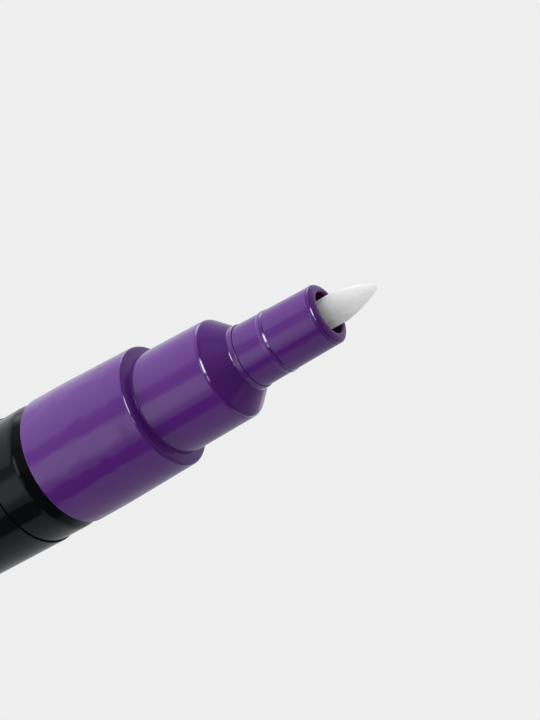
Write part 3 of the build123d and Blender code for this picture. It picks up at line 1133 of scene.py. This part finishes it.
def studio_world(stage, colours):
    """Plain backdrop for the camera, a tent of panels for reflections and soft light for the rest."""
    world = bpy.data.worlds.new("studio")
    bpy.context.scene.world = world
    world.use_nodes = True
    board = Board(world.node_tree)
    heading = board.node("ShaderNodeTexCoord")["Generated"]
    parts = board.node("ShaderNodeSeparateXYZ", None, {0: heading})
    azimuth = board.math("ARCTAN2", parts["X"], -parts["Y"]) * math.degrees(1)
    height = board.math("ARCSINE", parts["Z"]) * math.degrees(1)
    gloss = reflected_panels(azimuth, height, stage.strip)
    soft = soft_light(azimuth, height, stage)
    path = board.node("ShaderNodeLightPath")
    seen = path["Is Camera Ray"]
    shine = path["Is Glossy Ray"]
    strength = seen * colours.backdrop[0] + (1 - seen) * (shine * gloss + (1 - shine) * soft)
    cool = board.blend(shine, (1, 1, 1, 1), (0.96, 0.99, 1.03, 1))
    sky = board.node("ShaderNodeBackground", None, {"Color": cool, "Strength": strength})
    board.node("ShaderNodeOutputWorld", None, {"Surface": sky})


def pale_floor(colours):
    """Floor that the camera sees as the plain backdrop with the object's shadow on it."""
    shell = bmesh.new()
    bmesh.ops.create_grid(shell, x_segments=8, y_segments=8, size=FLOOR_REACH)
    mesh = bpy.data.meshes.new("floor")
    shell.to_mesh(mesh)
    shell.free()
    floor = bpy.data.objects.new("floor", mesh)
    bpy.context.scene.collection.objects.link(floor)
    material, board = new_finish("pale_floor")
    matt = board.node("ShaderNodeBsdfDiffuse", None, {"Color": rgba(colours.backdrop)})
    glow = board.node("ShaderNodeEmission", None, {"Color": rgba(colours.backdrop), "Strength": 1.0})
    seen = board.node("ShaderNodeLightPath")["Is Camera Ray"] * FLOOR_GLOW
    mixed = board.node("ShaderNodeMixShader", None, {0: seen, 1: matt, 2: glow})
    board.node("ShaderNodeOutputMaterial", None, {"Surface": mixed})
    mesh.materials.append(material)
    floor.visible_glossy = False
    floor.visible_diffuse = False
    floor.visible_shadow = False
    return floor


def floor_light(stage, floor):
    """Lamp that lights the floor alone, so that it shows the object's shadow."""
    lamp = bpy.data.lights.new("floor_light", "SUN")
    lamp.energy = stage.sun
    lamp.angle = stage.sun_softness
    sun = bpy.data.objects.new("floor_light", lamp)
    bpy.context.scene.collection.objects.link(sun)
    flat = math.cos(stage.sun_elevation)
    toward = Vector(
        (
            flat * math.sin(stage.sun_azimuth),
            -flat * math.cos(stage.sun_azimuth),
            math.sin(stage.sun_elevation),
        )
    )
    sun.rotation_euler = toward.to_track_quat("Z", "Y").to_euler()
    lit = bpy.data.collections.new("lit_floor")
    lit.objects.link(floor)
    sun.light_linking.receiver_collection = lit


def marker_camera(stage):
    """Close camera at the photograph's angle, rolled so that the marker points up to the right."""
    data = bpy.data.cameras.new("camera")
    data.sensor_fit = "VERTICAL"
    data.sensor_height = 36
    data.lens = stage.lens
    data.clip_end = 100
    camera = bpy.data.objects.new("camera", data)
    bpy.context.scene.collection.objects.link(camera)
    back = Vector((0, -math.cos(stage.elevation), math.sin(stage.elevation)))
    side = Vector((1, 0, 0))
    level_up = back.cross(side)
    right = side * math.cos(stage.roll) + level_up * math.sin(stage.roll)
    up = back.cross(right)
    aim = Vector((stage.aim_side, 0, stage.aim_height))
    place = Matrix((right, up, back)).transposed().to_4x4()
    place.translation = aim + back * stage.distance
    camera.matrix_world = place
    bpy.context.scene.camera = camera


class MARKER_OT_stage(Operator):
    """Floor, light and camera"""

    bl_idname = "marker.stage"
    bl_label = "Stage"

    def execute(self, context):
        stage = context.scene.marker_stage
        colours = context.scene.marker_colours
        context.scene.view_settings.view_transform = "Standard"
        studio_world(stage, colours)
        floor = pale_floor(colours)
        floor_light(stage, floor)
        marker_camera(stage)
        return {"FINISHED"}


BUILD_STEPS = (
    MARKER_OT_barrel,
    MARKER_OT_label,
    MARKER_OT_tail_plug,
    MARKER_OT_front_section,
    MARKER_OT_nozzle,
    MARKER_OT_nib,
    MARKER_OT_valve_spring,
    MARKER_OT_inner_valve,
    MARKER_OT_stage,
)


class MARKER_PT_panel(Panel):
    """Lists the build steps and the values that a user would change"""

    bl_idname = "MARKER_PT_panel"
    bl_label = "Paint Marker"
    bl_space_type = "VIEW_3D"
    bl_region_type = "UI"
    bl_category = "Marker"

    def draw(self, context):
        for step in BUILD_STEPS:
            self.layout.operator(step.bl_idname)
        for group_name in PROPERTY_GROUPS:
            group = getattr(context.scene, group_name)
            box = self.layout.box()
            for name in group.__annotations__:
                box.prop(group, name)


PROPERTY_GROUPS = {
    "marker_sizes": MarkerSizes,
    "marker_colours": MarkerColours,
    "marker_stage": MarkerStage,
}
CLASSES = (*PROPERTY_GROUPS.values(), *BUILD_STEPS, MARKER_PT_panel)


def register():
    for kind in CLASSES:
        bpy.utils.register_class(kind)
    for name, group in PROPERTY_GROUPS.items():
        setattr(bpy.types.Scene, name, PointerProperty(type=group))


def unregister():
    for name in PROPERTY_GROUPS:
        delattr(bpy.types.Scene, name)
    for kind in reversed(CLASSES):
        bpy.utils.unregister_class(kind)


def main():
    """Build every piece in order."""
    register()
    bpy.ops.marker.barrel()
    bpy.ops.marker.label()
    bpy.ops.marker.tail_plug()
    bpy.ops.marker.front_section()
    bpy.ops.marker.nozzle()
    bpy.ops.marker.nib()
    bpy.ops.marker.valve_spring()
    bpy.ops.marker.inner_valve()
    bpy.ops.marker.stage()


if __name__ == "__main__":
    main()
